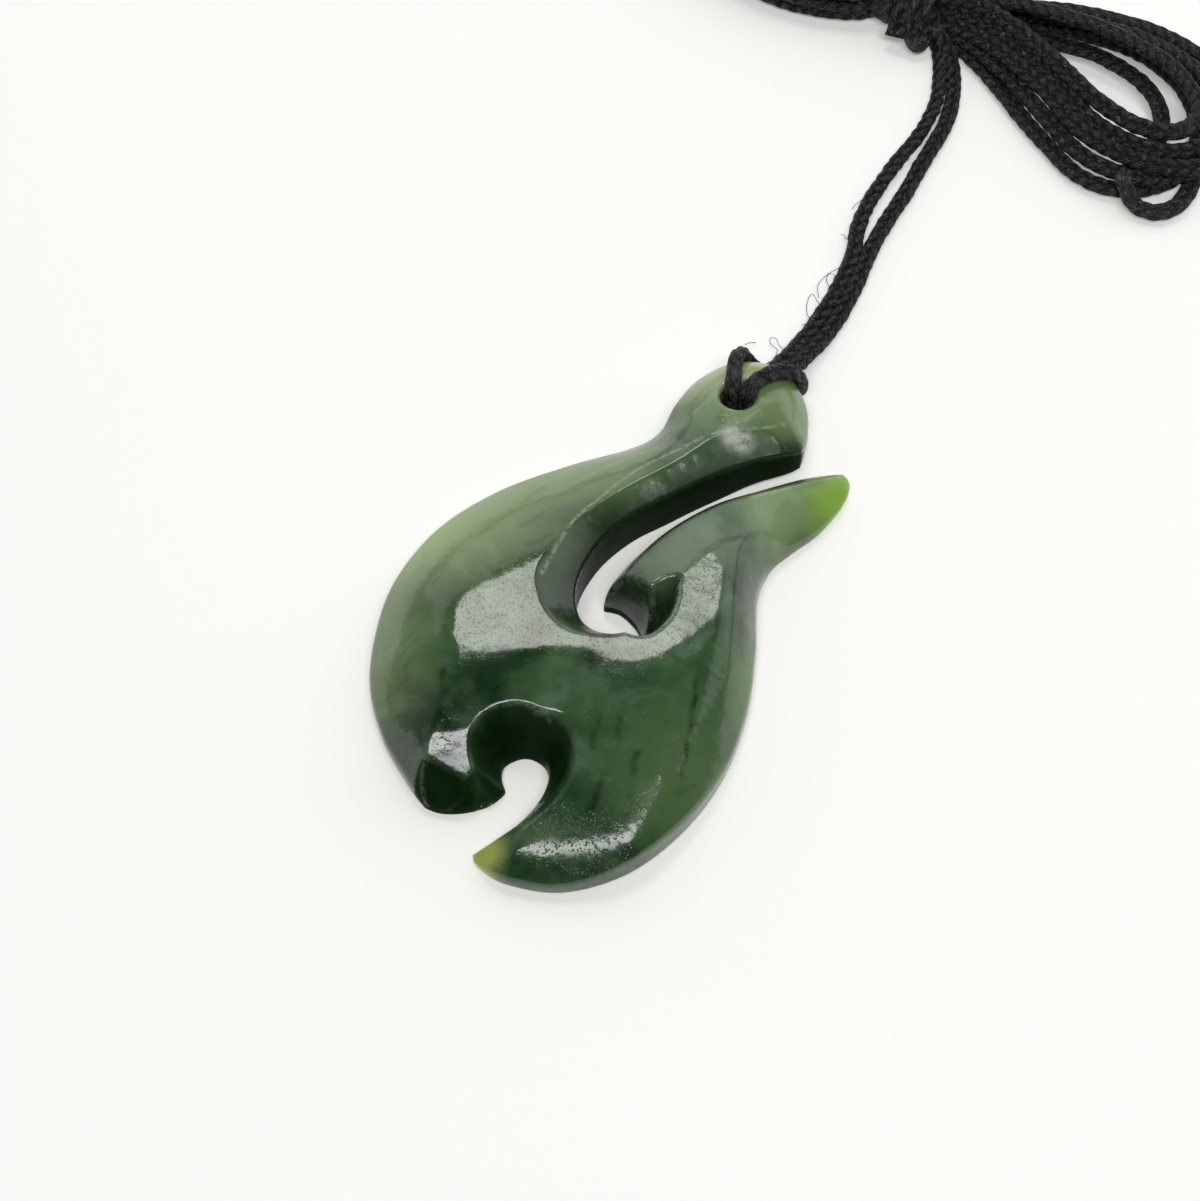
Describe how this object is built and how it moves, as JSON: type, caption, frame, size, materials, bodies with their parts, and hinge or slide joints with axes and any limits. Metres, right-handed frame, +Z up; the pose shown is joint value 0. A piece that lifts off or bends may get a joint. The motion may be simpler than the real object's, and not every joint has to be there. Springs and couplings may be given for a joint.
{
  "type": "hook pendant necklace",
  "caption": "Carved greenstone fish-hook pendant on a black braided cord, hitched through its head and tied up in a hank.",
  "frame": {"origin": "on the surface that the stone lies on, under the middle of the stone's own box, with the cord left out", "axes": "+Z is up, out of the carved face; +Y runs from the bend of the hook to its drilled head; +X is to the right of the face, on the side of the point"},
  "size_m": [0.0638, 0.1045, 0.0065],
  "materials": {
    "greenstone": "polished",
    "braided_cord": "waxed",
    "cord_binding": "waxed"
  },
  "bodies": {
    "root": {"hook_stone": "greenstone", "neck_cord": "braided_cord", "cord_hank": "braided_cord", "hank_binding": "cord_binding"}
  },
  "joints": []
}
